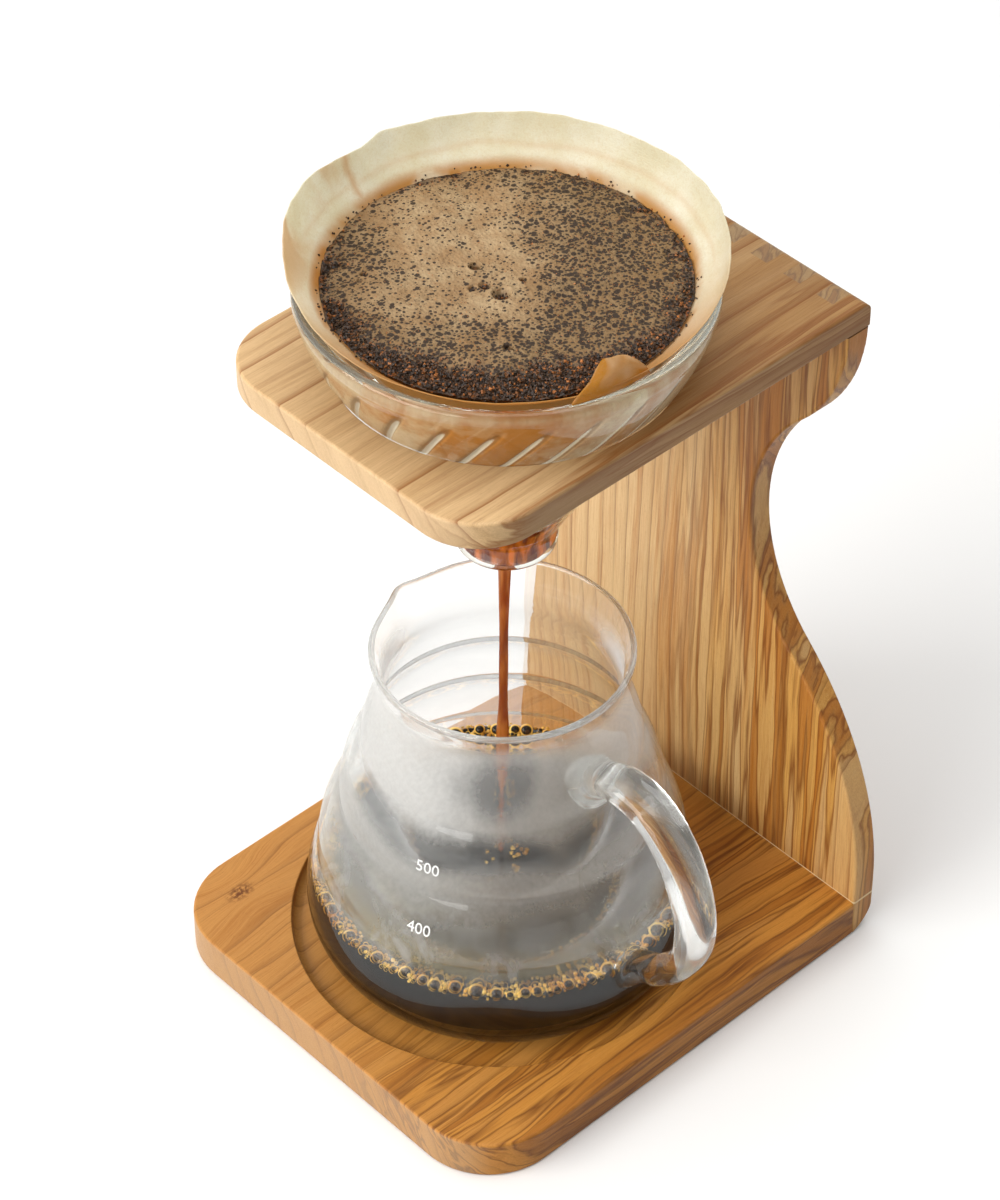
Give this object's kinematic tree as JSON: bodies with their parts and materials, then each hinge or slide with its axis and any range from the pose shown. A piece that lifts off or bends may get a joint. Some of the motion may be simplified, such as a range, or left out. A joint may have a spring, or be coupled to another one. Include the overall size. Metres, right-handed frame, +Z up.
{
  "type": "pour over coffee stand",
  "caption": "Wooden stand, its upright cut in on the handle side, that holds a ribbed glass dripper cone and a paper filter above a tiered glass server.",
  "frame": {"origin": "centre of the server recess, on the plane the base board stands on", "axes": "+Z up; -Y is the open front, where the server is pulled out; +X is the side the server's handle points to"},
  "size_m": [0.166, 0.168, 0.2785],
  "materials": {
    "base_wood": "oiled olive wood, satin",
    "panel_wood": "oiled olive wood, satin",
    "shelf_wood": "oiled olive wood, satin",
    "clear_glass": "clear heatproof glass",
    "filter_paper": "unbleached paper, wet",
    "wet_grounds": "wet coffee grounds under tan foam",
    "coffee": "dark liquid",
    "foam": "amber bubbles"
  },
  "bodies": {
    "stand": {"base_board": "base_wood", "back_panel": "panel_wood", "top_shelf": "shelf_wood"},
    "dripper": {"dripper_cone": "clear_glass"},
    "filter": {"paper_filter": "filter_paper", "coffee_bed": "wet_grounds"},
    "server": {"server_body": "clear_glass", "server_handle": "clear_glass", "brewed_coffee": "coffee", "coffee_foam": "foam"}
  },
  "joints": [
    {"name": "dripper_lift", "type": "slide", "parent": "stand", "child": "dripper", "axis": [0, 0, 1], "range_m": [0, 0.11]},
    {"name": "filter_lift", "type": "slide", "parent": "dripper", "child": "filter", "axis": [0, 0, 1], "range_m": [0, 0.12]},
    {"name": "server_pull", "type": "slide", "parent": "stand", "child": "server", "axis": [0, -0.9563, 0.2924], "range_m": [0, 0.2]}
  ]
}
